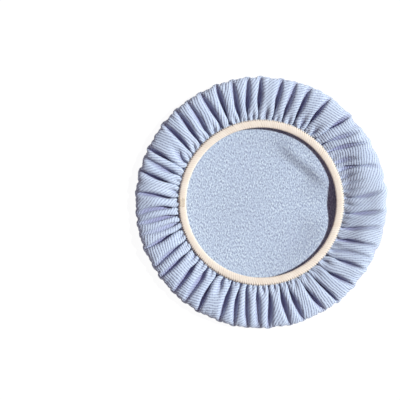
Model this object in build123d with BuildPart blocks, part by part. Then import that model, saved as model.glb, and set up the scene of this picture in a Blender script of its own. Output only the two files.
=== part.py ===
"""A polishing bonnet: a round cloth cover that an elastic hem holds on a polisher's backing pad.

It lies on its working face, with the elastic mouth up. The Z axis runs through the middle of both.
All sizes are in millimetres.
"""

import os
from math import asin, cos, degrees, radians, sin

from build123d import *

# Cloth: one round blank, which is flat on the face, bends over at the rim and is gathered in
outer_diameter = 250.0
mouth_diameter = 148.0
cloth_thickness = 1.5
rim_bend_radius = 5.5  # to the middle of the cloth's thickness
rim_bend_end = 70.0  # degrees above the horizontal, where the bend runs into the skirt
crown_radius = 105.0  # where the gathered skirt stands highest
crown_top = 14.5
gathered_thickness = 2.6
hem_underside = 7.5
hem_margin = 1.5  # flat hem beyond the seam

# Elastic tape, on top of the hem
tape_width = 6.0
tape_thickness = 1.2
tape_joint_gap = 0.2  # between the tape's two ends
core_count = 6
core_diameter = 0.6
core_clearance = 0.02

# Overlock seam, which wraps the edges of the hem and the tape together
stitch_count = 220
yarn_thickness = 0.4
yarn_width = 1.2
edge_thickness = 0.8  # of the loops around the hem's and the tape's inner edge
yarn_slant = 12.0  # degrees from the radius
yarn_drop = 0.8  # how far the upper yarn reaches beyond the tape, where it comes down
needle_thickness = 0.35
needle_fill = 0.8  # the share of each stitch that one bar of needle thread takes

# Bar tack over the joint of the tape's ends
tack_length = 10.0
tack_stroke_count = 5
tack_stroke_width = 0.5

# Worked out from those
bend_radius = outer_diameter / 2 - cloth_thickness / 2 - rim_bend_radius
bend_height = cloth_thickness / 2 + rim_bend_radius
bend_outside = rim_bend_radius + cloth_thickness / 2
bend_inside = rim_bend_radius - cloth_thickness / 2
mouth_radius = mouth_diameter / 2
tape_inner = mouth_radius + edge_thickness
tape_outer = tape_inner + tape_width
tape_middle = tape_inner + tape_width / 2
seam_outer = tape_outer + yarn_drop
hem_outer = seam_outer + hem_margin
hem_top = hem_underside + cloth_thickness
tape_top = hem_top + tape_thickness
tape_centre_height = hem_top + tape_thickness / 2
seam_top = tape_top + yarn_thickness
seam_underside = hem_underside - yarn_thickness
seam_middle = (seam_top + seam_underside) / 2
tape_gap_angle = degrees(tape_joint_gap / tape_middle)
stroke_inner = mouth_radius + edge_thickness / 2
stroke_length = tape_outer + yarn_thickness - stroke_inner
stroke_middle = stroke_inner + stroke_length / 2
drop_angle = degrees(asin(stroke_length / 2 * sin(radians(yarn_slant)) / tape_outer))
needle_radius = seam_outer + needle_thickness / 2
needle_bar_length = needle_fill * radians(360 / stitch_count) * needle_radius


def bend_point(radius, angle):
    """A point of the rim's bend, as its distance from the axis and its height."""
    rise = radians(angle)
    return (bend_radius + radius * cos(rise), bend_height + radius * sin(rise))


outside_end = bend_point(bend_outside, rim_bend_end)
inside_end = bend_point(bend_inside, rim_bend_end)
towards_mouth = Vector(-sin(radians(rim_bend_end)), cos(radians(rim_bend_end)))

os.makedirs("parts", exist_ok=True)

# The flat of the cloth: its underside polishes, and its upper side lies against the backing pad
with BuildPart() as cloth_face:
    with BuildSketch():
        Circle(bend_radius)
    extrude(amount=cloth_thickness)
cloth_face.part.label = "cloth_face"
export_step(cloth_face.part, "parts/cloth_face.step")

# The cloth's bend at the rim
with BuildPart() as cloth_rim:
    with BuildSketch(Plane.XZ):
        with BuildLine():
            centre = (bend_radius, bend_height)
            outer_arc = CenterArc(centre, bend_outside, -90, 90 + rim_bend_end)
            inner_arc = CenterArc(centre, bend_inside, -90, 90 + rim_bend_end)
            Line(outer_arc @ 0, inner_arc @ 0)
            Line(outer_arc @ 1, inner_arc @ 1)
        make_face()
    revolve(axis=Axis.Z)
cloth_rim.part.label = "cloth_rim"
export_step(cloth_rim.part, "parts/cloth_rim.step")

# The gathered cloth between the rim and the mouth, which ends in the flat hem under the tape
with BuildPart() as cloth_skirt:
    with BuildSketch(Plane.XZ):
        with BuildLine():
            crown = (crown_radius, crown_top)
            crown_inside = (crown_radius, crown_top - gathered_thickness)
            top = Spline(outside_end, crown, (hem_outer, hem_top), tangents=(towards_mouth, (-1, 0)))
            Polyline(
                (hem_outer, hem_top),
                (tape_inner, hem_top),
                (tape_inner, hem_underside),
                (hem_outer, hem_underside),
            )
            underside = Spline(
                (hem_outer, hem_underside),
                crown_inside,
                inside_end,
                tangents=((1, 0), -towards_mouth),
            )
            Line(inside_end, outside_end)
        make_face()
    revolve(axis=Axis.Z)
cloth_skirt.part.label = "cloth_skirt"
export_step(cloth_skirt.part, "parts/cloth_skirt.step")

# The tape's braided cover, with a tunnel for each rubber strand. Its ends meet at the back, on -X
with BuildPart() as elastic_braid:
    with BuildSketch(Plane.XZ.rotated((0, 0, 180 + tape_gap_angle / 2))):
        with Locations((tape_middle, tape_centre_height)):
            Rectangle(tape_width, tape_thickness)
        with Locations((tape_middle, tape_centre_height)):
            with GridLocations(tape_width / core_count, 1, core_count, 1):
                Circle(core_diameter / 2 + core_clearance, mode=Mode.SUBTRACT)
    revolve(axis=Axis.Z, revolution_arc=360 - tape_gap_angle)
elastic_braid.part.label = "elastic_braid"
export_step(elastic_braid.part, "parts/elastic_braid.step")

# The rubber strands inside the braid
with BuildPart() as elastic_cores:
    with BuildSketch(Plane.XZ.rotated((0, 0, 180 + tape_gap_angle / 2))):
        with Locations((tape_middle, tape_centre_height)):
            with GridLocations(tape_width / core_count, 1, core_count, 1):
                Circle(core_diameter / 2)
    revolve(axis=Axis.Z, revolution_arc=360 - tape_gap_angle)
elastic_cores.part.label = "elastic_cores"
export_step(elastic_cores.part, "parts/elastic_cores.step")

# The yarn over the tape: slanting strokes, which come down beyond it, and the seam's edge
with BuildPart() as upper_looper_thread:
    with BuildSketch(Plane.XY.offset(tape_top)):
        Circle(tape_inner)
        Circle(mouth_radius, mode=Mode.SUBTRACT)
        with PolarLocations(stroke_middle, stitch_count):
            Rectangle(stroke_length, yarn_width, rotation=yarn_slant)
    extrude(amount=yarn_thickness)
    with BuildSketch(Plane.XY.offset(seam_middle)):
        Circle(tape_inner)
        Circle(mouth_radius, mode=Mode.SUBTRACT)
    extrude(amount=tape_top - seam_middle)
    with BuildSketch(Plane.XY.offset(hem_top)):
        with PolarLocations(tape_outer + yarn_drop / 2, stitch_count, start_angle=drop_angle):
            Rectangle(yarn_drop, yarn_width)
    extrude(amount=seam_top - hem_top)
upper_looper_thread.part.label = "upper_looper_thread"
export_step(upper_looper_thread.part, "parts/upper_looper_thread.step")

# The yarn under the hem, which meets the upper one at the seam's edge
with BuildPart() as lower_looper_thread:
    with BuildSketch(Plane.XY.offset(seam_underside)):
        Circle(tape_inner)
        Circle(mouth_radius, mode=Mode.SUBTRACT)
        with PolarLocations(stroke_middle, stitch_count):
            Rectangle(stroke_length, yarn_width, rotation=-yarn_slant)
    extrude(amount=yarn_thickness)
    with BuildSketch(Plane.XY.offset(hem_underside)):
        Circle(tape_inner)
        Circle(mouth_radius, mode=Mode.SUBTRACT)
    extrude(amount=seam_middle - hem_underside)
lower_looper_thread.part.label = "lower_looper_thread"
export_step(lower_looper_thread.part, "parts/lower_looper_thread.step")

# The needle thread, which shows as one short bar for each stitch at the foot of the upper yarn
with BuildPart() as needle_thread:
    with BuildSketch(Plane.XY.offset(hem_top)):
        with PolarLocations(needle_radius, stitch_count, start_angle=drop_angle):
            Rectangle(needle_thickness, needle_bar_length)
    extrude(amount=needle_thickness)
needle_thread.part.label = "needle_thread"
export_step(needle_thread.part, "parts/needle_thread.step")

# The bar tack, which is sewn over the finished seam and holds the tape's ends together
with BuildPart() as tack_thread:
    with BuildSketch(Plane.XY.offset(seam_top)):
        with Locations((-tape_middle, 0)):
            with GridLocations(tape_width / tack_stroke_count, 1, tack_stroke_count, 1):
                Rectangle(tack_stroke_width, tack_length)
            Rectangle(tape_width - 1, tack_stroke_width)
    extrude(amount=yarn_thickness)
tack_thread.part.label = "tack_thread"
export_step(tack_thread.part, "parts/tack_thread.step")
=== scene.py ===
"""Looks for the polishing bonnet: a gathered microfibre cover, lying on its working face.

Lengths in the cloth and the seam are millimetres, and make_mesh turns them into metres.
"""

import math

import bpy
import numpy as np
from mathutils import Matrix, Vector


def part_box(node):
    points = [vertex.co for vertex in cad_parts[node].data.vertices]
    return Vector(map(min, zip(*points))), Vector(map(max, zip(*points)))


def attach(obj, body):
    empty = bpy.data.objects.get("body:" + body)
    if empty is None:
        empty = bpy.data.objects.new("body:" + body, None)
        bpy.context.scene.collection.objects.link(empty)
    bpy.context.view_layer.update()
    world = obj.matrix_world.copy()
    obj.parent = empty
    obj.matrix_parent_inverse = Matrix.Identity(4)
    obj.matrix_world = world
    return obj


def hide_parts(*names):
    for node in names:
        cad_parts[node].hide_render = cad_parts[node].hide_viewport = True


MM = 0.001
TURN = 2 * math.pi
SEED = 11

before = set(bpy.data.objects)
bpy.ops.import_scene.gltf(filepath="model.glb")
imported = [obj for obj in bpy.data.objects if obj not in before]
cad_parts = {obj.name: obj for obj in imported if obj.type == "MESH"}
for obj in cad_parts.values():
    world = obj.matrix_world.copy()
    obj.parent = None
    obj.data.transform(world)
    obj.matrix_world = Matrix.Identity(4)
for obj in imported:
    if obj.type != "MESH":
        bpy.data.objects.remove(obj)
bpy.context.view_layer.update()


def box_mm(node):
    """The lowest and highest corners of a CAD node, in millimetres."""
    low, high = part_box(node)
    return np.array(low) / MM, np.array(high) / MM


face_low, face_high = box_mm("cloth_face")
rim_high = box_mm("cloth_rim")[1]
skirt_high = box_mm("cloth_skirt")[1]
tape_low, tape_high = box_mm("elastic_braid")
under_low = box_mm("lower_looper_thread")[0]

# Sizes that the CAD's boxes give
THICKNESS = face_high[2] - face_low[2]
OUTER_RADIUS = rim_high[0]
BEND_CENTRE = face_high[0]
BEND_RADIUS = OUTER_RADIUS - BEND_CENTRE - THICKNESS / 2
TAPE_OUTER = tape_high[0]
TAPE_BOTTOM, TAPE_TOP = tape_low[2], tape_high[2]
HEM_MIDDLE = TAPE_BOTTOM - THICKNESS / 2

# Sizes that are the CAD's too, but that no box gives
TAPE_WIDTH = 6.0
LOOP_THICKNESS = 0.8  # of the yarn around the inner edge of the tape and the hem
YARN_DROP = 0.8  # how far the yarn reaches beyond the tape
STITCHES = 220
TAPE_INNER = TAPE_OUTER - TAPE_WIDTH
MOUTH_RADIUS = TAPE_INNER - LOOP_THICKNESS
SEAM_OUTER = TAPE_OUTER + YARN_DROP

# ---------------------------------------------------------------- cloth ----

COLUMNS = 864  # points around the skirt
RING_STEP = 1.6  # from one ring of points to the next, along the cloth
FREE_FROM = 100.0  # the cloth inside this radius doesn't settle
HEM_RADII = (
    TAPE_OUTER + 1.2,
    TAPE_OUTER - 0.2,
    TAPE_OUTER - 2.1,
    TAPE_OUTER - 4.0,
    TAPE_INNER,
)
HEM_FOLDS = (0.85, 0.45, 0.2, 0.15, 0.1)  # the share of the folds' height at each of those radii
BEND_END = math.radians(70)  # where the bend at the rim runs into the skirt
CROWN_RADIUS = 105.0  # where the skirt stands highest
CROWN_DROP = 1.3  # from the CAD skirt's top to the cloth's middle there
ON_SKIRT = 80  # the section line's points from this one on are the skirt's
RIM_FULLNESS = 18.0  # how much the knit gives beyond the rim, as extra radius on a flat blank
FULLER_FROM, FULLER_OVER = 97.0, 28.0  # the distance where that begins, and how long it takes

FOLD_ANGLE = math.radians(8.8)  # from one long valley to the next, on average
LOOSE_SIDE, LOOSE_SPREAD = math.radians(10), math.radians(24)  # where the folds are wider
CALM_SIDE = math.radians(8)  # where the folds are shallower

STEPS, QUICK_STEPS = 420, 60
DAMPING = 0.92
PUFF = 0.003  # outward push at each step, which rounds the crests and pinches the valleys
PRESSED = 0.5  # how far the crests may stand over the section line before they are pressed down
PRESSING = 0.35  # the share of a crest's excess that each step takes away
RESISTS_BENDING = ((2, 0.35), (3, 0.25), (5, 0.15))  # rings apart and stiffness
MAY_TOUCH = (5, 6, 7, 8, 9, 11, 13)  # columns apart that are kept from passing through each other
LEAST_GAP = 1.35  # between their points

DENT_WAVES, DENT_DEPTH = 16, 0.3
SCALLOPS_FROM, SCALLOPS_OVER = 110, 14  # the radius where they begin, and how long that takes

SWELL_TOP = 5.3  # the highest that the inner cloth rises
CREASE_X, CREASE_Y = 43, 35  # the crease's middle
CREASE_ACROSS_X, CREASE_ACROSS_Y = 0.62, 0.78  # the way across it
CREASE_HEIGHT, CREASE_WIDTH, CREASE_LENGTH = 4.9, 1.7, 30
UNDER_MOUTH = 74  # the radius where the inner cloth swells most


def noise_around(rng, angle, first, count, falloff):
    """Smooth periodic noise of unit spread."""
    out = np.zeros_like(angle)
    for k in range(first, first + count):
        out += rng.normal() * np.cos(k * angle + rng.uniform(0, TURN)) / k**falloff
    return out / out.std()


def section_line():
    """The cloth's middle line from the axis to the hem, and the distance along it.

    The line's points are (radius, height).
    """
    middle = THICKNESS / 2
    turn = np.linspace(-math.pi / 2, BEND_END, 60)
    bend = np.stack(
        [
            BEND_CENTRE + BEND_RADIUS * np.cos(turn),
            middle + BEND_RADIUS + BEND_RADIUS * np.sin(turn),
        ],
        axis=1,
    )
    crown = (CROWN_RADIUS, skirt_high[2] - CROWN_DROP)
    knots = np.array([bend[-1], crown, (HEM_RADII[0], HEM_MIDDLE), (TAPE_INNER, HEM_MIDDLE)])
    slopes = np.array(
        [(-math.sin(BEND_END), math.cos(BEND_END)), (-0.995, -0.06), (-0.97, -0.25), (-1.0, 0.0)]
    )
    pieces = [np.array([[0.0, middle]]), bend]
    for a, b, u, v in zip(knots[:-1], knots[1:], slopes[:-1], slopes[1:]):
        t = np.linspace(0, 1, 40)[1:, None]
        size = np.linalg.norm(b - a)
        pieces.append(
            (2 * t**3 - 3 * t**2 + 1) * a
            + (t**3 - 2 * t**2 + t) * u * size
            + (3 * t**2 - 2 * t**3) * b
            + (t**3 - t**2) * v * size
        )
    line = np.vstack(pieces)
    along = np.concatenate([[0], np.cumsum(np.linalg.norm(np.diff(line, axis=0), axis=1))])
    return line, along


LINE, ALONG = section_line()


def on_section(along):
    """The point of the middle line at that distance, and its outward normal."""

    def point(d):
        """The middle line's point at that distance."""
        return np.stack([np.interp(d, ALONG, LINE[:, 0]), np.interp(d, ALONG, LINE[:, 1])], axis=-1)

    way = point(along + 0.4) - point(along - 0.4)
    way /= np.linalg.norm(way, axis=-1, keepdims=True)
    return point(along), np.stack([way[..., 1], -way[..., 0]], axis=-1)


def shelf():
    """The section line's upper half, as radii that rise and their heights."""
    start = np.argmax(LINE[:, 0])
    return LINE[start:, 0][::-1], LINE[start:, 1][::-1]


def cut_radius(along):
    """The radius of the circle that a ring of the cloth could fill, with what the knit gives."""
    x = np.clip((along - FULLER_FROM) / FULLER_OVER, 0, 1)
    return along + RIM_FULLNESS * x * x * (3 - 2 * x)


def signed(angle):
    """The same angle between minus and plus half a turn."""
    return (angle + math.pi) % TURN - math.pi


def draw_valleys(rng, column, loose):
    """The folds' valleys: each one's angle, depth, the distance where it begins and if it is long.

    Long valleys run from the elastic to the rim, and short ones stay near the elastic.
    """
    widths, reached = [], 0.0
    while reached < TURN:
        wider = 1 + 0.45 * np.interp(reached, column, loose)
        widths.append(FOLD_ANGLE * wider * math.exp(0.2 * rng.normal()))
        reached += widths[-1]
    widths = np.array(widths) * TURN / sum(widths)
    edges = np.concatenate([[0], np.cumsum(widths)[:-1]])
    valleys = []
    for edge, width in zip(edges, widths):
        fades = rng.random() < 0.2 + 0.45 * np.interp(edge, column, loose)
        valleys.append((edge, math.exp(0.16 * rng.normal()), 152.0 if fades else 0.0, True))
        parts = int(np.clip(round(width / (FOLD_ANGLE * 0.35)), 1, 5))
        for part in range(1, parts):
            where = edge + width * (part / parts + 0.06 * rng.normal())
            valleys.append((where, math.exp(0.12 * rng.normal()), rng.uniform(156, 163), False))
    return valleys


def lay_folds(rng):
    """The skirt before it settles: its grid, each ring's distance and which rings are held."""
    hem = np.array([np.interp(-r, -LINE[ON_SKIRT:, 0], ALONG[ON_SKIRT:]) for r in HEM_RADII])
    along = np.concatenate([np.arange(FREE_FROM, hem[0] - 0.9, RING_STEP), hem])
    held = np.zeros(len(along), bool)
    held[:2] = True
    held[-len(hem) :] = True
    column = np.arange(COLUMNS) * TURN / COLUMNS

    # The elastic takes the cloth a little unevenly, so some folds lean.
    loose = np.exp(-((signed(column - LOOSE_SIDE) / LOOSE_SPREAD) ** 2))
    pace = 1 + 0.22 * loose + 0.1 * noise_around(rng, column, 2, 7, 0.5)
    at_hem = np.cumsum(pace) * TURN / pace.sum()
    shift = at_hem - column
    shift -= shift.mean()

    valleys = draw_valleys(rng, column, loose)
    grid = np.zeros((len(along), COLUMNS, 3))
    points, normals = on_section(along)
    sway = [noise_around(rng, column, 5, 20, 0.3) for _ in range(3)]
    for j, d in enumerate(along):
        x = np.clip((d - 118) / (hem[0] - 118), 0, 1)
        up = np.clip((d - 128) / (hem[0] - 128), 0, 1)
        wander = (
            sway[0] * math.sin(math.pi * x)
            + 0.7 * sway[1] * math.sin(TURN * x)
            + 0.8 * sway[2] * (1 - x)
        )
        angle = column + math.radians(1.5) * wander
        depth = np.interp(
            d,
            [102, 110, 117, 125, 134, 146, 160, 168, 172],
            [0, 1.0, 2.8, 5.0, 6.0, 6.6, 6.0, 4.6, 3.4],
        )
        spread = np.interp(d, [104, 126, 140, 160, 172], [0.16, 0.2, 0.27, 0.26, 0.15])
        spread = spread * FOLD_ANGLE
        height = np.zeros(COLUMNS)
        for where, deep, begins, long_one in valleys:
            off = np.abs(signed(angle - where))
            if long_one:
                amount = depth * deep
                if begins:
                    amount *= np.interp(d, [begins - 24, begins], [0.05, 1])
                width = spread
            else:
                amount = 3.3 * deep * np.clip((d - begins) / (170 - begins), 0, 1) ** 1.3
                width = 0.15 * FOLD_ANGLE
            height -= amount * np.exp(-((off / width) ** 1.25))
        height -= 0.85 * height.mean()
        turned = column + shift * up**1.3
        if j < 2:
            height *= 0
        elif held[j]:
            height *= HEM_FOLDS[j - len(along) + len(hem)]
            turned = column + shift
        radius = points[j, 0] + normals[j, 0] * height
        rise = points[j, 1] + normals[j, 1] * height
        grid[j] = np.stack([radius * np.cos(turned), radius * np.sin(turned), rise], axis=1)
    return grid, along, held


def tie(a, b, rest, short, long):
    """Moves each pair of points towards its rest length.

    One stiffness is for pairs that are too near, short, and one for pairs that are too far, long.
    """
    gap = b - a
    size = np.sqrt((gap * gap).sum(-1)) + 1e-9
    wrong = size - rest
    gap *= (0.5 * np.where(wrong > 0, long, short) * wrong / size)[..., None]
    a += gap
    b -= gap


def spread_apart(grid, step, least, stiffness):
    """Pushes apart a ring's points, that many columns apart, where they are too near."""
    gap = np.roll(grid, -step, axis=1) - grid
    size = np.sqrt((gap * gap).sum(-1)) + 1e-9
    gap *= (0.5 * stiffness * np.minimum(size - least, 0) / size)[..., None]
    return grid + gap - np.roll(gap, step, axis=1)


def calm(angle):
    """The share of its fullness that the cloth lacks at each angle, which is on the right only."""
    away = signed(angle - CALM_SIDE)
    narrow = np.exp(-((away / math.radians(30)) ** 2))
    wide = np.exp(-((away / math.radians(60)) ** 4))
    return 0.13 * narrow + 0.05 * wide


def grid_normals(grid):
    """Unit normals of the skirt's grid, which point out of the bonnet."""
    around = np.roll(grid, -1, axis=1) - np.roll(grid, 1, axis=1)
    inward = np.gradient(grid, axis=0)
    normal = np.cross(around, inward)
    return normal / (np.sqrt((normal * normal).sum(-1, keepdims=True)) + 1e-9)


def settle(grid, along, held, steps):
    """Lets the cloth settle: it keeps its cut lengths, resists bending and has thickness."""
    grid = grid.astype(np.float32)
    rings, columns, _ = grid.shape
    around = (TURN * cut_radius(along) / columns)[:, None] * (
        1 - np.clip((along - 108) / 20, 0, 1)[:, None] * calm(np.arange(columns) * TURN / columns)
    )
    around = around.astype(np.float32)
    radial = np.diff(along).astype(np.float32)[:, None]
    slanted = np.sqrt(((around[1:] + around[:-1]) / 2) ** 2 + radial**2)
    still = grid[held].copy()
    before = grid.copy()
    lifted = along > 140
    over = along > 108
    puffed = np.clip((along - 106) / 8, 0, 1).astype(np.float32)[:, None, None]
    shelf_radius, shelf_height = shelf()
    for step in range(steps):
        moving = (grid - before) * DAMPING
        before = grid.copy()
        grid = grid + moving + PUFF * puffed * grid_normals(grid)
        for _ in range(2):
            tie(grid[:, 0::2], grid[:, 1::2], around[:, 0::2], 0.75, 1.0)
            turned = np.roll(grid, -1, axis=1)
            tie(turned[:, 0::2], turned[:, 1::2], around[:, 1::2], 0.75, 1.0)
            grid = np.roll(turned, 1, axis=1)
            for odd in (0, 1):
                last = odd + (rings - odd) // 2 * 2
                tie(grid[odd:last:2], grid[odd + 1 : last : 2], radial[odd:last:2], 1.0, 1.0)
        for odd in (0, 1):
            last = odd + (rings - odd) // 2 * 2
            for way in (-1, 1):
                beside = np.roll(grid[odd + 1 : last : 2], way, axis=1)
                tie(grid[odd:last:2], beside, slanted[odd : last - 1 : 2], 0.15, 0.15)
                grid[odd + 1 : last : 2] = np.roll(beside, -way, axis=1)
        grid = spread_apart(grid, 2, 2 * around, 0.1)
        grid = spread_apart(grid, 4, 3.84 * around, 0.06)
        for step_up, stiffness in RESISTS_BENDING:
            gap = grid[step_up:] - grid[:-step_up]
            size = np.sqrt((gap * gap).sum(-1)) + 1e-9
            rest = (along[step_up:] - along[:-step_up]).astype(np.float32)[:, None]
            short_by = np.minimum(size - rest * (1 - 0.004 * step_up**2), 0)
            gap *= (0.5 * stiffness * short_by / size)[..., None]
            grid[:-step_up] += gap
            grid[step_up:] -= gap
        if step % 2 == 0:
            for apart in MAY_TOUCH:
                least = np.minimum(LEAST_GAP, 0.75 * apart * around)
                grid = spread_apart(grid, apart, least, 0.35)
        upper = grid[over]
        radius = np.hypot(upper[..., 0], upper[..., 1])
        ceiling = np.interp(radius, shelf_radius, shelf_height + PRESSED)
        upper[..., 2] -= PRESSING * np.maximum(upper[..., 2] - ceiling, 0).astype(np.float32)
        grid[over] = upper
        np.maximum(grid[..., 2], THICKNESS / 2, out=grid[..., 2])
        grid[lifted, :, 2] = np.maximum(grid[lifted, :, 2], 1.5 * THICKNESS)
        grid[held] = still
    for _ in range(3):
        grid[1:-1] = np.where(
            held[1:-1, None, None], grid[1:-1], 0.5 * grid[1:-1] + 0.25 * (grid[2:] + grid[:-2])
        )
    return grid.astype(float)


def dent(rng, grid, along):
    """Pushes shallow dents into the skirt, which are deeper on its calm side."""
    angle = np.arange(COLUMNS) * TURN / COLUMNS
    dents = np.zeros((len(along), COLUMNS))
    for _ in range(DENT_WAVES):
        across, inward = rng.integers(5, 15), rng.uniform(-1, 1) * TURN / 26
        dents += np.cos(across * angle[None, :] + inward * along[:, None] + rng.uniform(0, TURN))
    dents *= 0.4 + 2.8 * calm(angle)[None, :]
    free = np.clip((along - 106) / 10, 0, 1) * np.clip((along[-1] - 8 - along) / 8, 0, 1)
    dents = dents / dents.std() * free[:, None]
    return grid + DENT_DEPTH * dents[..., None] * grid_normals(grid)


def scallop(rng, grid):
    """Moves the rim in and out by about a millimetre at uneven steps, as scallops."""
    angle = np.arange(COLUMNS) * TURN / COLUMNS
    drawn = np.zeros(COLUMNS)
    where = 0.0
    while where < TURN:
        width = math.radians(rng.uniform(1.5, 3.0))
        off = signed(angle - where)
        drawn += rng.uniform(0.5, 1.6) * np.exp(-np.abs(off / width) ** 1.5)
        where += math.radians(rng.uniform(5, 11))
    drawn = (drawn - drawn.mean()) * (0.6 + 7.0 * calm(angle))
    radius = np.hypot(grid[..., 0], grid[..., 1])
    reach = np.clip((radius - SCALLOPS_FROM) / SCALLOPS_OVER, 0, 1)
    share = drawn[None, :] * reach * reach * (3 - 2 * reach) / radius
    return grid * np.stack([1 - share, 1 - share, np.ones_like(share)], axis=-1)


def face_height(x, y):
    """How far the face's cloth stands above its lowest place: soft waves, a crease, a swell."""
    radius = np.hypot(x, y)
    waves = (
        np.sin(x / 17 + 0.6) * np.cos(y / 21 - 0.4)
        + 0.7 * np.sin((x + 1.7 * y) / 26 + 2.1)
        + 0.5 * np.cos((1.4 * x - y) / 19)
    )
    waves = 0.28 * (waves + 2.2)
    across = (x - CREASE_X) * CREASE_ACROSS_X + (y - CREASE_Y) * CREASE_ACROSS_Y
    length = (x - CREASE_X) * CREASE_ACROSS_Y - (y - CREASE_Y) * CREASE_ACROSS_X
    step = CREASE_HEIGHT / (1 + np.exp(-across / CREASE_WIDTH))
    crease = step * np.exp(-((np.maximum(across, 0) / 16) ** 2))
    crease = crease * np.exp(-((length / CREASE_LENGTH) ** 4))
    fade = np.clip((FREE_FROM - 2 - radius) / 22, 0, 1)
    # Under the mouth's edge the cloth swells up towards the right, around a hollow.
    azimuth = np.arctan2(y, x)
    hollow = np.exp(-(((azimuth + 0.02) / 0.24) ** 2))
    side = 0.5 + 4.3 * np.exp(-(((azimuth - 0.1) / 1.45) ** 4)) * (1 - hollow)
    reach = 22 + 5 * np.sin(3 * azimuth + 1) - 13 * np.exp(-(((azimuth - 0.68) / 0.45) ** 2))
    reach = np.where(radius < UNDER_MOUTH, reach, 14)
    near = np.exp(-(((radius - UNDER_MOUTH) / reach) ** 2))
    rise = (waves + crease) * (1 - 0.6 * near) + side * near
    return np.minimum(rise, SWELL_TOP) * fade * fade * (3 - 2 * fade)


def cloth_sheet():
    """The cloth's middle surface: points, their place in the flat cut, faces, the skirt's grid."""
    rng = np.random.default_rng(SEED)
    grid, along, held = lay_folds(rng)
    grid = settle(grid, along, held, STEPS)
    grid = dent(rng, grid, along)
    grid = scallop(rng, grid)
    # Rings of the flat cloth, with fewer points towards the middle
    radii = [(98.6, COLUMNS // 2), (96.4, COLUMNS // 4)]
    radii += [(r, COLUMNS // 4) for r in np.arange(93.0, 48.0, -3.2)]
    radii += [(r, COLUMNS // 8) for r in np.arange(46.0, 3.0, -4.2)]
    cut = cut_radius(along)
    angle = np.arange(COLUMNS) * TURN / COLUMNS
    points = [grid.reshape(-1, 3)]
    way = np.stack([np.cos(angle), np.sin(angle)], axis=-1)
    flat = [(cut[:, None, None] * way).reshape(-1, 2)]
    index = np.arange(grid.shape[0] * COLUMNS).reshape(grid.shape[0], COLUMNS)
    faces = []
    lower, upper = index[:-1], index[1:]
    quads = np.stack([lower, np.roll(lower, -1, 1), np.roll(upper, -1, 1), upper], axis=-1)
    faces += quads.reshape(-1, 4).tolist()
    last_ring, base = index[0], index.size
    for radius, count in radii:
        turn = np.arange(count) * TURN / count
        x, y = radius * np.cos(turn), radius * np.sin(turn)
        points.append(np.stack([x, y, THICKNESS / 2 + face_height(x, y)], axis=1))
        flat.append(np.stack([x, y], axis=1))
        ring = base + np.arange(count)
        base += count
        ahead, outer_ahead = np.roll(ring, -1), np.roll(last_ring, -1)
        if len(last_ring) == count:
            faces += np.stack([ring, ahead, outer_ahead, last_ring], axis=1).tolist()
        else:
            middle, end = last_ring[1::2], np.roll(last_ring, -2)[0::2]
            start = last_ring[0::2]
            faces += np.stack([ring, middle, start], axis=1).tolist()
            faces += np.stack([ring, ahead, middle], axis=1).tolist()
            faces += np.stack([ahead, end, middle], axis=1).tolist()
        last_ring = ring
    points.append(np.array([[0, 0, THICKNESS / 2 + face_height(np.zeros(1), np.zeros(1))[0]]]))
    flat.append(np.zeros((1, 2)))
    faces += [[base, int(b), int(a)] for a, b in zip(last_ring, np.roll(last_ring, -1))]
    return np.vstack(points), np.vstack(flat), faces, index


def sheet_normals(points, faces):
    """Unit normals of the middle surface, which point out of the bonnet."""
    total = np.zeros_like(points)
    for size in (3, 4):
        some = np.array([f for f in faces if len(f) == size])
        a, b, c = points[some[:, 0]], points[some[:, 1]], points[some[:, 2]]
        normal = np.cross(b - a, c - a) if size == 3 else np.cross(c - a, points[some[:, 3]] - b)
        for k in range(size):
            np.add.at(total, some[:, k], normal)
    return total / (np.linalg.norm(total, axis=1, keepdims=True) + 1e-12)


def make_mesh(name, points, faces, materials, face_slots=None, flat=None):
    """A smooth mesh object in metres from millimetre points, with the flat cut as its UV map."""
    mesh = bpy.data.meshes.new(name)
    mesh.from_pydata((np.asarray(points) * MM).tolist(), [], faces)
    for material in materials:
        mesh.materials.append(material)
    if face_slots is not None:
        mesh.polygons.foreach_set("material_index", np.asarray(face_slots, dtype=np.int32))
    if flat is not None:
        layer = mesh.uv_layers.new(name="cut")
        corners = np.zeros(len(mesh.loops), dtype=np.int32)
        mesh.loops.foreach_get("vertex_index", corners)
        layer.data.foreach_set("uv", (np.asarray(flat) * MM)[corners].astype(np.float32).ravel())
    mesh.shade_smooth()
    mesh.validate()
    piece = bpy.data.objects.new(name, mesh)
    bpy.context.scene.collection.objects.link(piece)
    return piece


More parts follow.
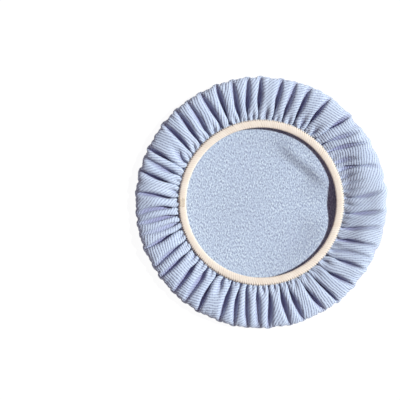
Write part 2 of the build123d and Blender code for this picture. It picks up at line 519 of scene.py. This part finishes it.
def make_cloth(outer, inner):
    """The cloth with its thickness: ribbed side out, brushed side in, a cut edge at the mouth."""
    points, flat, faces, index = cloth_sheet()
    normals = sheet_normals(points, faces)
    half = np.full(len(points), THICKNESS / 2 - 0.05)
    rings = index.shape[0]
    # The gathers press the cloth thinner towards the hem.
    thin = np.interp(
        np.arange(rings), [0, rings - 12, rings - 5, rings - 1], [0.7, 0.62, 0.48, 0.4]
    )
    half[: index.size] = np.repeat(thin, COLUMNS)
    outside = points + normals * half[:, None]
    inside = points - normals * half[:, None]
    outside[:, 2] = np.maximum(outside[:, 2], 0.0)
    # How deep each point lies in a fold, which sets the painted shade that darkens the ribbed
    # side's colour in the valleys.
    depth = np.zeros(len(points))
    crests = np.interp(np.hypot(points[: index.size, 0], points[: index.size, 1]), *shelf())
    depth[: index.size] = np.clip((crests - points[: index.size, 2] - 0.6) / 5.5, 0, 1)
    depth[: index.size] *= np.repeat(np.clip((np.arange(rings) - 9) / 6, 0, 1), COLUMNS)
    count = len(points)
    lining = [[v + count for v in reversed(f)] for f in faces]
    edge = index[-1]
    ahead = np.roll(edge, -1)
    rim = np.stack([edge, ahead, ahead + count, edge + count], axis=1).tolist()
    slots = [0] * len(faces) + [1] * len(lining) + [0] * len(rim)
    cloth = make_mesh(
        "bonnet_cloth",
        np.vstack([outside, inside]),
        faces + lining + rim,
        [outer, inner],
        slots,
        np.vstack([flat, flat]),
    )
    cloth.data.attributes.new("painted_fold_shade", "FLOAT", "POINT").data.foreach_set(
        "value", np.tile(depth, 2).astype(np.float32)
    )
    return cloth


# ---------------------------------------------------------------- seam ----

YARN_LENGTH, YARN_GIRTH, YARN_SPACE = 8, 3, 4  # of each stitch's yarn in the UV map
NEEDLE_THICKNESS, TACK_THICKNESS = 0.36, 0.42
TACK_STROKES, TACK_SPACING, TACK_HALF = 5, 1.1, 5  # the last is half a stroke's length


def tubes(name, rings, material, flat=None):
    """Closed tubes from their rings of points, as an array of (tubes, rings, sides, 3)."""
    index = np.arange(rings[..., 0].size).reshape(rings.shape[:3])
    a, b = index[:, :-1], index[:, 1:]
    quads = np.stack([a, np.roll(a, -1, 2), np.roll(b, -1, 2), b], axis=-1).reshape(-1, 4).tolist()
    caps = index[:, 0, ::-1].tolist() + index[:, -1].tolist()
    return make_mesh(name, rings.reshape(-1, 3), quads + caps, [material], flat=flat)


def strands(name, paths, widths, heights, material, sides=8):
    """Flattened yarns along the paths, an array of (count, points, 3).

    The widths and heights are for each point.
    """
    paths = np.asarray(paths)
    count, length, _ = paths.shape
    way = np.gradient(paths, axis=1)
    way /= np.linalg.norm(way, axis=2, keepdims=True)
    centre = paths.mean(axis=1, keepdims=True)
    outward = centre * (1, 1, 0)
    outward = outward / np.linalg.norm(outward, axis=2, keepdims=True)
    around = np.cross(np.array([0.0, 0.0, 1.0]), outward)
    side = around - (around * way).sum(-1, keepdims=True) * way
    side /= np.linalg.norm(side, axis=2, keepdims=True)
    up = np.cross(way, side)
    turn = np.arange(sides) * TURN / sides
    widths = np.broadcast_to(widths, (count, length))[..., None, None] / 2
    heights = np.broadcast_to(heights, (count, length))[..., None, None] / 2
    ring = (
        paths[:, :, None]
        + side[:, :, None] * widths * np.cos(turn)[:, None]
        + up[:, :, None] * heights * np.sin(turn)[:, None]
    )
    flat = np.zeros((count, length, sides, 2))
    flat[..., 0] = np.linspace(0, 1, length)[None, :, None] * YARN_LENGTH
    flat[..., 1] = np.arange(count)[:, None, None] * YARN_SPACE + turn / TURN * YARN_GIRTH
    return tubes(name, ring, material, flat.reshape(-1, 2))


def round_cords(name, paths, diameter, material, sides=6):
    """Round threads along paths that lie nearly flat."""
    way = np.gradient(paths, axis=1)
    way /= np.linalg.norm(way, axis=2, keepdims=True)
    side = np.cross(way, np.array([0.0, 0.0, 1.0]))
    side /= np.linalg.norm(side, axis=2, keepdims=True)
    up = np.cross(side, way)
    turn = np.arange(sides) * TURN / sides
    ring = paths[:, :, None] + diameter / 2 * (
        side[:, :, None] * np.cos(turn)[:, None] + up[:, :, None] * np.sin(turn)[:, None]
    )
    return tubes(name, ring, material)


def round_the_axis(section, twist, rng, uneven=0.0):
    """Copies a path of (radius, height) points once for each stitch.

    twist turns each point on, in stitches. Only the outer ends are uneven in radius.
    """
    section = np.asarray(section, dtype=float)
    start = (np.arange(STITCHES) + uneven * rng.normal(size=STITCHES)) * TURN / STITCHES
    angle = start[:, None] + np.asarray(twist)[None, :] * TURN / STITCHES
    outer_end = section[None, :, 0] > TAPE_OUTER
    radius = section[None, :, 0] + uneven * 0.6 * rng.normal(size=(STITCHES, 1)) * outer_end
    height = np.broadcast_to(section[None, :, 1], angle.shape)
    return np.stack([radius * np.cos(angle), radius * np.sin(angle), height], axis=2)


def make_seam(yarn, thread):
    """The yarn over and under the tape, the needle thread's bars and the tack."""
    rng = np.random.default_rng(SEED + 1)
    top = TAPE_TOP + 0.28
    under = under_low[2] + 0.2
    split = (TAPE_TOP + HEM_MIDDLE) / 2
    over_tape = [
        (MOUTH_RADIUS + 0.35, split - 0.3),
        (MOUTH_RADIUS + 0.25, split + 0.3),
        (MOUTH_RADIUS + 0.35, top - 0.65),
        (MOUTH_RADIUS + 0.85, top - 0.2),
        (MOUTH_RADIUS + 1.7, top),
        (MOUTH_RADIUS + 3.2, top + 0.14),
        (MOUTH_RADIUS + 4.8, top + 0.14),
        (TAPE_OUTER - 0.8, top),
        (TAPE_OUTER - 0.05, top - 0.2),
        (TAPE_OUTER + 0.45, top - 0.6),
        (TAPE_OUTER + 0.85, top - 1.15),
        (TAPE_OUTER + 1.15, top - 1.6),
    ]
    twist = np.array([0, 0, 0.02, 0.08, 0.2, 0.42, 0.66, 0.88, 1.0, 1.06, 1.1, 1.1]) * 1.15
    width = np.array([1.6, 1.9, 2.15, 2.25, 2.3, 2.35, 2.35, 2.25, 1.9, 1.35, 1.0, 0.8])
    height = np.array([0.5, 0.55, 0.6, 0.6, 0.58, 0.56, 0.56, 0.58, 0.62, 0.62, 0.6, 0.5])
    widths = 1.06 * width[None, :] * (1 + 0.03 * rng.normal(size=(STITCHES, 1)))
    upper = strands(
        "upper_looper_yarn", round_the_axis(over_tape, twist, rng, 0.03), widths, height, yarn, 10
    )
    under_hem = [
        (MOUTH_RADIUS + 0.35, split + 0.2),
        (MOUTH_RADIUS + 0.25, split - 0.5),
        (MOUTH_RADIUS + 0.4, under + 0.4),
        (MOUTH_RADIUS + 1.1, under + 0.05),
        (MOUTH_RADIUS + 3.0, under),
        (TAPE_OUTER - 1.0, under),
        (TAPE_OUTER + 0.3, under + 0.05),
        (TAPE_OUTER + 0.9, under + 0.3),
    ]
    back_twist = -np.array([0, 0, 0.05, 0.2, 0.5, 0.85, 1.0, 1.0]) * 0.9
    lower = strands(
        "lower_looper_yarn",
        round_the_axis(under_hem, back_twist + 0.5, rng, 0.04),
        np.array([1.4, 1.7, 1.9, 2.0, 2.0, 2.0, 1.5, 1.0]),
        0.42,
        yarn,
    )
    # Each bar is a short arc of the seam's outer circle, with lowered ends.
    half = 0.42
    share = np.linspace(-half, half, 7)
    bar_angle = (np.arange(STITCHES)[:, None] + 1.2 + share[None, :]) * TURN / STITCHES
    bar_height = TAPE_BOTTOM + 0.55 - 0.5 * (share / half) ** 4
    bar_height = bar_height + 0.05 * rng.normal(size=(STITCHES, 1))
    bar_radius = SEAM_OUTER + 0.2 + 0.05 * rng.normal(size=(STITCHES, 1))
    bars = np.stack(
        [bar_radius * np.cos(bar_angle), bar_radius * np.sin(bar_angle), bar_height], axis=2
    )
    needle = round_cords("needle_stitches", bars, NEEDLE_THICKNESS, thread)
    # The tack: strokes along the tape over its joint, and a zigzag across them.
    middle = (TAPE_INNER + TAPE_OUTER) / 2
    strokes = []
    for k in range(TACK_STROKES):
        along = np.linspace(-TACK_HALF, TACK_HALF, 24)
        across = -middle + (k - TACK_STROKES // 2) * TACK_SPACING + 0.08 * rng.normal()
        across = across + along**2 / (2 * middle)  # as curved as the tape
        rise = top + 0.42 - 0.55 * np.abs(along / TACK_HALF) ** 6
        strokes.append(np.stack([across, along + 0.2 * rng.normal(), rise], axis=1))
    turns = np.linspace(0, 1, 24)
    zigzag = np.stack(
        [
            -middle + 2.4 * np.sin(turns * TURN * 3.5),
            -4.2 + 8.4 * turns,
            np.full(24, top + 0.7),
        ],
        axis=1,
    )
    tack = round_cords("tack_stitches", np.array(strokes + [zigzag]), TACK_THICKNESS, thread)
    return upper, lower, needle, tack


# ------------------------------------------------------------ materials ----


class Nodes:
    """Short calls for building one material's nodes around its Principled shader."""

    def __init__(self, name, roughness, sheen=0.0):
        self.material = bpy.data.materials.new(name)
        self.material.use_nodes = True
        self.tree = self.material.node_tree
        self.shader = self.tree.nodes["Principled BSDF"]
        self.shader.inputs["Roughness"].default_value = roughness
        self.shader.inputs["Specular IOR Level"].default_value = 0.2
        self.shader.inputs["Sheen Weight"].default_value = sheen
        self.shader.inputs["Sheen Roughness"].default_value = 0.5

    def add(self, kind, **settings):
        """A new shader node with those settings."""
        node = self.tree.nodes.new("ShaderNode" + kind)
        for key, value in settings.items():
            setattr(node, key, value)
        return node

    def join(self, source, target):
        """Links an output to an input."""
        self.tree.links.new(source, target)

    def math(self, operation, a, b):
        """A Math node's output. a and b are numbers or sockets."""
        node = self.add("Math", operation=operation)
        for socket, value in zip(node.inputs, (a, b)):
            if isinstance(value, (int, float)):
                socket.default_value = value
            else:
                self.join(value, socket)
        return node.outputs[0]

    def noise(self, vector, scale, detail=2.0, roughness=0.5):
        """Noise from 0 to 1."""
        node = self.add("TexNoise")
        node.inputs["Scale"].default_value = scale
        node.inputs["Detail"].default_value = detail
        node.inputs["Roughness"].default_value = roughness
        self.join(vector, node.inputs["Vector"])
        return node.outputs["Fac"]

    def ramp(self, value, *stops):
        """Turns a value into a colour. Each stop is a place and a colour."""
        node = self.add("ValToRGB")
        elements = node.color_ramp.elements
        while len(elements) < len(stops):
            elements.new(0.5)
        for element, (place, colour) in zip(elements, stops):
            element.position = place
            element.color = (*colour, 1)
        self.join(value, node.inputs[0])
        return node.outputs[0]

    def mix(self, share, a, b):
        """Colour a, with that share of colour b."""
        node = self.add("Mix", data_type="RGBA")
        for socket, value in ((node.inputs[0], share), (node.inputs[6], a), (node.inputs[7], b)):
            if isinstance(value, (int, float)):
                socket.default_value = value
            elif isinstance(value, tuple):
                socket.default_value = (*value, 1)
            else:
                self.join(value, socket)
        return node.outputs[2]

    def bump(self, height, strength, distance):
        """Bumps the surface by a height, which is in metres once multiplied by the distance."""
        node = self.add("Bump")
        node.inputs["Strength"].default_value = strength
        node.inputs["Distance"].default_value = distance
        self.join(height, node.inputs["Height"])
        self.join(node.outputs[0], self.shader.inputs["Normal"])

    def colour(self, value):
        """Gives the surface its colour."""
        self.join(value, self.shader.inputs["Base Color"])

    def object_place(self):
        """The place on the object, in metres."""
        return self.add("TexCoord").outputs["Object"]

    def cut(self, angle=0.0, scale=1.0):
        """The place in the flat cut, in metres, turned, and scaled along one way."""
        source = self.add("UVMap", uv_map="cut")
        mapping = self.add("Mapping")
        mapping.inputs["Rotation"].default_value = (0, 0, angle)
        mapping.inputs["Scale"].default_value = (scale, 1, 1)
        self.join(source.outputs[0], mapping.inputs["Vector"])
        return mapping.outputs[0]


def linear(red, green, blue):
    """An sRGB colour, 0 to 255, as the shader's linear one."""
    return tuple(
        v / 255 / 12.92 if v <= 10 else ((v / 255 + 0.055) / 1.055) ** 2.4
        for v in (red, green, blue)
    )


# Metres, as in the flat cut
RIB_PERIOD = 0.00252
RIB_LENGTH = 0.0052
RIB_GAP = 0.0005


def ribbed_cloth():
    """The working side: rows of short staggered ribs."""
    n = Nodes("ribbed_microfibre", 0.9, sheen=0.25)
    place = n.cut(angle=-math.radians(130))
    # The rows waver a little.
    warp = n.noise(place, 60, 2)
    bent = n.add("VectorMath", operation="ADD")
    shove = n.add("CombineXYZ")
    n.join(n.math("MULTIPLY", n.math("SUBTRACT", warp, 0.5), 0.004), shove.inputs[1])
    n.join(place, bent.inputs[0])
    n.join(shove.outputs[0], bent.inputs[1])
    ribs = n.add("TexBrick", offset=0.5, offset_frequency=2)
    ribs.inputs["Scale"].default_value = 1.0
    ribs.inputs["Brick Width"].default_value = RIB_LENGTH
    ribs.inputs["Row Height"].default_value = RIB_PERIOD
    ribs.inputs["Mortar Size"].default_value = RIB_GAP
    ribs.inputs["Mortar Smooth"].default_value = 1.0
    ribs.inputs["Color1"].default_value = (0, 0, 0, 1)
    ribs.inputs["Color2"].default_value = (1, 1, 1, 1)
    ribs.inputs["Bias"].default_value = 0.0
    n.join(bent.outputs[0], ribs.inputs["Vector"])
    rows = n.add("TexWave", wave_type="BANDS", bands_direction="Y")
    rows.inputs["Scale"].default_value = TURN / 20 / RIB_PERIOD  # one band for each row
    rows.inputs["Distortion"].default_value = 0.0
    n.join(bent.outputs[0], rows.inputs["Vector"])
    between_rows = n.math("MULTIPLY", rows.outputs["Fac"], 0.75)
    between_ribs = n.math("MULTIPLY", ribs.outputs["Fac"], 0.3)
    gap = n.math("ADD", between_rows, between_ribs)
    fibres = n.noise(place, 2600, 3, 0.7)
    clouds = n.noise(place, 28, 3, 0.55)
    base = n.ramp(clouds, (0.3, linear(214, 226, 242)), (0.7, linear(226, 236, 248)))
    base = n.mix(n.math("MULTIPLY", gap, 0.85), base, linear(120, 122, 162))
    paler = n.math("MULTIPLY", n.math("SUBTRACT", fibres, 0.3), 0.5)
    base = n.mix(paler, base, linear(222, 234, 246))
    # Painted shade: the colour darkens towards purple the deeper the point lies in a fold.
    depth = n.add("Attribute", attribute_name="painted_fold_shade")
    base = n.mix(n.math("MULTIPLY", depth.outputs["Fac"], 0.6), base, linear(118, 104, 156))
    n.colour(base)
    height = n.math("ADD", n.math("MULTIPLY", gap, -1.0), n.math("MULTIPLY", fibres, 0.35))
    n.bump(height, 1.0, 0.0006)
    return n.material


def brushed_cloth():
    """The inner side: a brushed nap in small tufts."""
    n = Nodes("brushed_microfibre", 1.0, sheen=0.35)
    place = n.cut(angle=math.radians(25), scale=1.7)
    tufts = n.noise(place, 470, 3, 0.65)
    fine = n.noise(place, 1700, 2, 0.6)
    clouds = n.noise(place, 22, 3, 0.5)
    base = n.ramp(
        tufts,
        (0.32, linear(118, 122, 152)),
        (0.5, linear(192, 203, 221)),
        (0.66, linear(240, 248, 252)),
    )
    base = n.mix(n.math("MULTIPLY", fine, 0.3), base, linear(168, 180, 204))
    worn = n.math("MULTIPLY", n.math("SUBTRACT", clouds, 0.35), 0.5)
    base = n.mix(worn, base, linear(186, 194, 220))
    n.colour(base)
    n.bump(n.math("ADD", tufts, n.math("MULTIPLY", fine, 0.4)), 0.8, 0.0007)
    return n.material


def looper_yarn():
    """Fluffy cream overlock yarn."""
    n = Nodes("cream_looper_yarn", 0.85, sheen=0.15)
    place = n.cut(scale=0.22)
    fibres = n.noise(place, 3200, 3, 0.7)
    clumps = n.noise(place, 900, 2)
    clouds = n.noise(place, 60, 2)
    base = n.ramp(clouds, (0.3, linear(242, 225, 207)), (0.7, linear(249, 235, 220)))
    darker = n.math("MULTIPLY", n.math("SUBTRACT", fibres, 0.25), 0.6)
    base = n.mix(darker, base, linear(226, 203, 180))
    n.colour(base)
    n.bump(n.math("ADD", fibres, clumps), 0.9, 0.00022)
    return n.material


def sewing_thread():
    """Smooth twisted cream thread."""
    n = Nodes("cream_sewing_thread", 0.6, sheen=0.1)
    ply = n.add("TexWave", wave_type="BANDS", bands_direction="DIAGONAL")
    ply.inputs["Scale"].default_value = 700
    ply.inputs["Distortion"].default_value = 1.0
    n.join(n.object_place(), ply.inputs["Vector"])
    twist = ply.outputs["Fac"]
    n.colour(n.ramp(twist, (0.2, linear(224, 206, 182)), (0.8, linear(246, 234, 216))))
    n.bump(twist, 0.4, 0.0001)
    return n.material


def braided_elastic():
    """The tape under the yarn: a cream braid, shown as fine cells."""
    n = Nodes("cream_braid", 0.75, sheen=0.1)
    cells = n.add("TexVoronoi", feature="F1")
    cells.inputs["Scale"].default_value = 1100
    n.join(n.object_place(), cells.inputs["Vector"])
    valley = cells.outputs["Distance"]
    n.colour(n.ramp(valley, (0.1, linear(240, 228, 208)), (0.8, linear(206, 188, 164))))
    n.bump(n.math("MULTIPLY", valley, -1.0), 0.5, 0.0002)
    return n.material


def rubber():
    """The latex strands inside the tape."""
    n = Nodes("latex_strand", 0.45)
    clouds = n.noise(n.object_place(), 300, 2)
    n.colour(n.ramp(clouds, (0.3, linear(214, 190, 150)), (0.7, linear(226, 204, 166))))
    return n.material


# ---------------------------------------------------------------- build ----

yarn, thread = looper_yarn(), sewing_thread()
cloth = make_cloth(ribbed_cloth(), brushed_cloth())
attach(cloth, "root")
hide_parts("cloth_face", "cloth_rim", "cloth_skirt")

upper_yarn, lower_yarn, needle_stitches, tack_stitches = make_seam(yarn, thread)
for piece, node, slot in (
    (upper_yarn, "upper_looper_thread", "looper_yarn"),
    (lower_yarn, "lower_looper_thread", "looper_yarn"),
    (needle_stitches, "needle_thread", "sewing_thread"),
    (tack_stitches, "tack_thread", "sewing_thread"),
):
    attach(piece, "root")
    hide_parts(node)

for node, material in (("elastic_braid", braided_elastic()), ("elastic_cores", rubber())):
    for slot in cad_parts[node].material_slots:
        slot.material = material

# ---------------------------------------------------------------- stage ----

FLOOR_HALF = 3.0
FLOOR_GAP = 0.0002  # so that the floor doesn't touch the cloth's underside

scene = bpy.context.scene
floor_mesh = bpy.data.meshes.new("floor")
floor_mesh.from_pydata(
    [(x * FLOOR_HALF, y * FLOOR_HALF, 0) for x, y in ((-1, -1), (1, -1), (1, 1), (-1, 1))],
    [],
    [(0, 1, 2, 3)],
)
floor = bpy.data.objects.new("floor", floor_mesh)
floor.location.z = -FLOOR_GAP
scene.collection.objects.link(floor)
white = Nodes("white_paper", 1.0)
white.shader.inputs["Base Color"].default_value = (0.1, 0.1, 0.1, 1)
white.shader.inputs["Emission Color"].default_value = (1, 1, 1, 1)
white.shader.inputs["Emission Strength"].default_value = 0.95
white.shader.inputs["Specular IOR Level"].default_value = 0.0
floor_mesh.materials.append(white.material)

world = bpy.data.worlds.new("studio")
scene.world = world
world.use_nodes = True
sky = world.node_tree
lit = sky.nodes["Background"]
lit.inputs["Color"].default_value = (1.0, 0.72, 0.98, 1)
lit.inputs["Strength"].default_value = 0.13
# Beyond the floor's edge the camera sees plain white, which doesn't light the cloth.
seen = sky.nodes.new("ShaderNodeBackground")
seen.inputs["Color"].default_value = (1, 1, 1, 1)
path = sky.nodes.new("ShaderNodeLightPath")
backdrop = sky.nodes.new("ShaderNodeMixShader")
sky.links.new(path.outputs["Is Camera Ray"], backdrop.inputs[0])
sky.links.new(lit.outputs[0], backdrop.inputs[1])
sky.links.new(seen.outputs[0], backdrop.inputs[2])
sky.links.new(backdrop.outputs[0], sky.nodes["World Output"].inputs["Surface"])


def sun(name, azimuth, elevation, energy, spread, colour):
    """A distant lamp whose light comes from that side and height, in degrees."""
    data = bpy.data.lights.new(name, "SUN")
    data.energy = energy
    data.angle = math.radians(spread)
    data.color = colour
    lamp = bpy.data.objects.new(name, data)
    lamp.rotation_euler = (0, math.radians(90 - elevation), math.radians(azimuth))
    scene.collection.objects.link(lamp)


sun("key", azimuth=12, elevation=43, energy=4.3, spread=5, colour=(0.955, 1.035, 1.05))

camera_data = bpy.data.cameras.new("camera")
camera = bpy.data.objects.new("camera", camera_data)
scene.collection.objects.link(camera)
scene.camera = camera
camera_data.sensor_width = 36
camera_data.lens = 108.5
camera.location = (-0.0604, 0.0025, 1.2)
camera.rotation_euler = (0, 0, 0)

scene.view_settings.view_transform = "Standard"
scene.view_settings.look = "None"
scene.view_settings.exposure = 0.0
